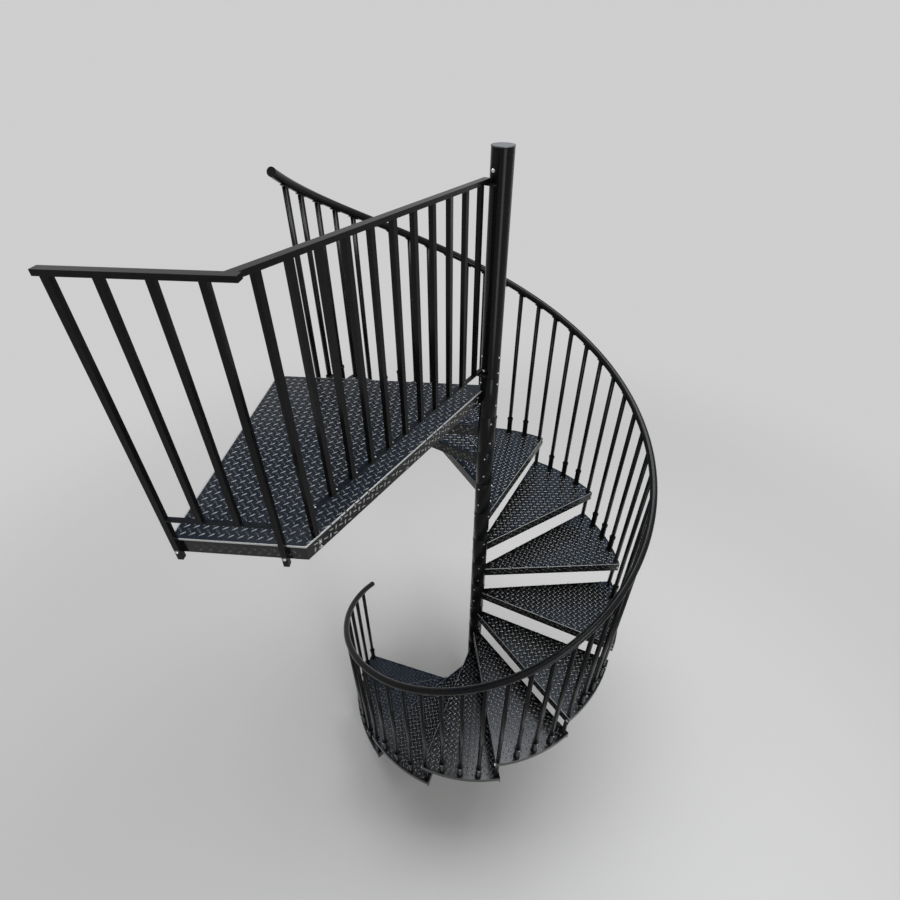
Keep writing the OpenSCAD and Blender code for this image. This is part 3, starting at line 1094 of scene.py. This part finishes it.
stageLook = {
    "floor": (0.54, 0.537, 0.53),
    "floorSize": 30,
    "floorClear": 2.0,
    "floorGone": 7.0,
    "backdrop": (0.62, 0.62, 0.62),
    "ceiling": (0.1, 0.24, 0.5),
    "ceilingFrom": 0.42,
    "ceilingFull": 0.66,
    "ceilingRight": (0.45, 0.68, 1.0),
    "rightFrom": -0.1,
    "rightFull": 0.25,
    "overhead": (0.85, 0.93, 1.0),
    "overheadToward": (0.0, -0.5, 0.866),
    "overheadFrom": 0.55,
    "overheadFull": 0.92,
    "fill": (0.28, 0.28, 0.28),
}
lamps = {
    "softbox": {"place": (0.5, 0.7, 8.6), "target": (0.5, 0, 2), "size": (8.0, 3.4),
        "power": 700.0, "colour": (0.97, 0.985, 1.0)},
    "key": {"place": (3.0, -6.2, 6.0), "target": (0, 0, 1.8), "size": (1.0, 1.0),
        "power": 80.0, "colour": (1.0, 0.97, 0.93)},
    "strip": {"place": (2.0, -4.3, 2.7), "target": (0, 0, 3.2), "size": (1.7, 3.4),
        "power": 75.0, "colour": (0.9, 0.95, 1.0)},
    "edge": {"place": (4.5, 3.5, 3.5), "target": (0, 0, 2.4), "size": (0.5, 3.0),
        "power": 12.0, "colour": (1.0, 0.93, 0.82)},
}
cameraLook = {
    "place": (-0.0166, -2.1759, 4.485),
    "degrees": (51.389, -0.195, 4.669),
    "lens": 21,
    "sensor": 36,
}
floorMesh = bpy.data.meshes.new("floor")
far = stageLook["floorSize"]
floorMesh.from_pydata([(-far, -far, 0), (far, -far, 0), (far, far, 0), (-far, far, 0)], [],
    [(0, 1, 2, 3)])
floor = bpy.data.objects.new("floor", floorMesh)
scene.collection.objects.link(floor)
floorMaterial = bpy.data.materials.new("floorMaterial")
floorMaterial.use_nodes = True
floorTree = floorMaterial.node_tree
floorShader = floorTree.nodes["Principled BSDF"]
floorShader.inputs["Base Color"].default_value = stageLook["floor"] + (1,)
floorShader.inputs["Roughness"].default_value = 0.9
floorShader.inputs["Specular IOR Level"].default_value = 0.1
# Far out, the floor fades into the backdrop
spot = Wire(floorTree).node("ShaderNodeTexCoord", out="Object")
away = spot.node("ShaderNodeVectorMath", {"operation": "LENGTH"}, {0: spot}, out="Value")
seen = spot.node("ShaderNodeLightPath", out="Is Camera Ray")
mirrored = seen.sibling("Is Glossy Ray") + seen.sibling("Is Transmission Ray")
seen = seen.math("MAXIMUM", seen, mirrored)
fade = 1.0 - ramp(away, stageLook["floorClear"], stageLook["floorGone"]) * seen
floorTree.links.new(fade.socket, floorShader.inputs["Alpha"])
floorMesh.materials.append(floorMaterial)

# The camera and the reflections see a pale backdrop all round. Above it the reflections meet
# a blue ceiling, paler to the right and nearly white overhead. The rest of the light is even.
world = bpy.data.worlds.new("world")
scene.world = world
world.use_nodes = True
worldTree = world.node_tree
background = worldTree.nodes["Background"]
view = Wire(worldTree).node("ShaderNodeTexCoord", out="Generated")
across = view.node("ShaderNodeSeparateXYZ", {}, {0: view})
wall = 1.0 - ramp(across.sibling(2), stageLook["ceilingFrom"], stageLook["ceilingFull"])
seen = view.node("ShaderNodeLightPath", out="Is Camera Ray")
mirrored = seen.sibling("Is Glossy Ray") + seen.sibling("Is Transmission Ray")
frontal = view.node("ShaderNodeVectorMath", {"operation": "DOT_PRODUCT"},
    {0: view, 1: stageLook["overheadToward"]}, out="Value")
shade = tint(ramp(across, stageLook["rightFrom"], stageLook["rightFull"]),
    stageLook["ceiling"] + (1,), stageLook["ceilingRight"] + (1,))
shade = tint(ramp(frontal, stageLook["overheadFrom"], stageLook["overheadFull"]), shade,
    stageLook["overhead"] + (1,))
shade = tint(wall, shade, stageLook["backdrop"] + (1,))
shade = tint(mirrored, stageLook["fill"] + (1,), shade)
shade = tint(seen, shade, stageLook["backdrop"] + (1,))
worldTree.links.new(shade.socket, background.inputs["Color"])


def lamp(name, place, target, size, power, colour):
    data = bpy.data.lights.new(name, "AREA")
    data.shape = "RECTANGLE"
    data.size, data.size_y = size
    data.energy = power
    data.color = colour
    made = bpy.data.objects.new(name, data)
    scene.collection.objects.link(made)
    made.visible_camera = False
    made.location = place
    made.rotation_mode = "QUATERNION"
    made.rotation_quaternion = (Vector(target) - Vector(place)).to_track_quat("-Z", "Y")


for name, values in lamps.items():
    lamp(name, **values)

scene.view_settings.view_transform = "Standard"
eye = bpy.data.cameras.new("eye")
eye.sensor_width = cameraLook["sensor"]
eye.lens = cameraLook["lens"]
eye.clip_end = 200
camera = bpy.data.objects.new("eye", eye)
scene.collection.objects.link(camera)
aim = Euler([math.radians(angle) for angle in cameraLook["degrees"]])
camera.matrix_world = Matrix.LocRotScale(Vector(cameraLook["place"]), aim, None)
scene.camera = camera
print("stage made")
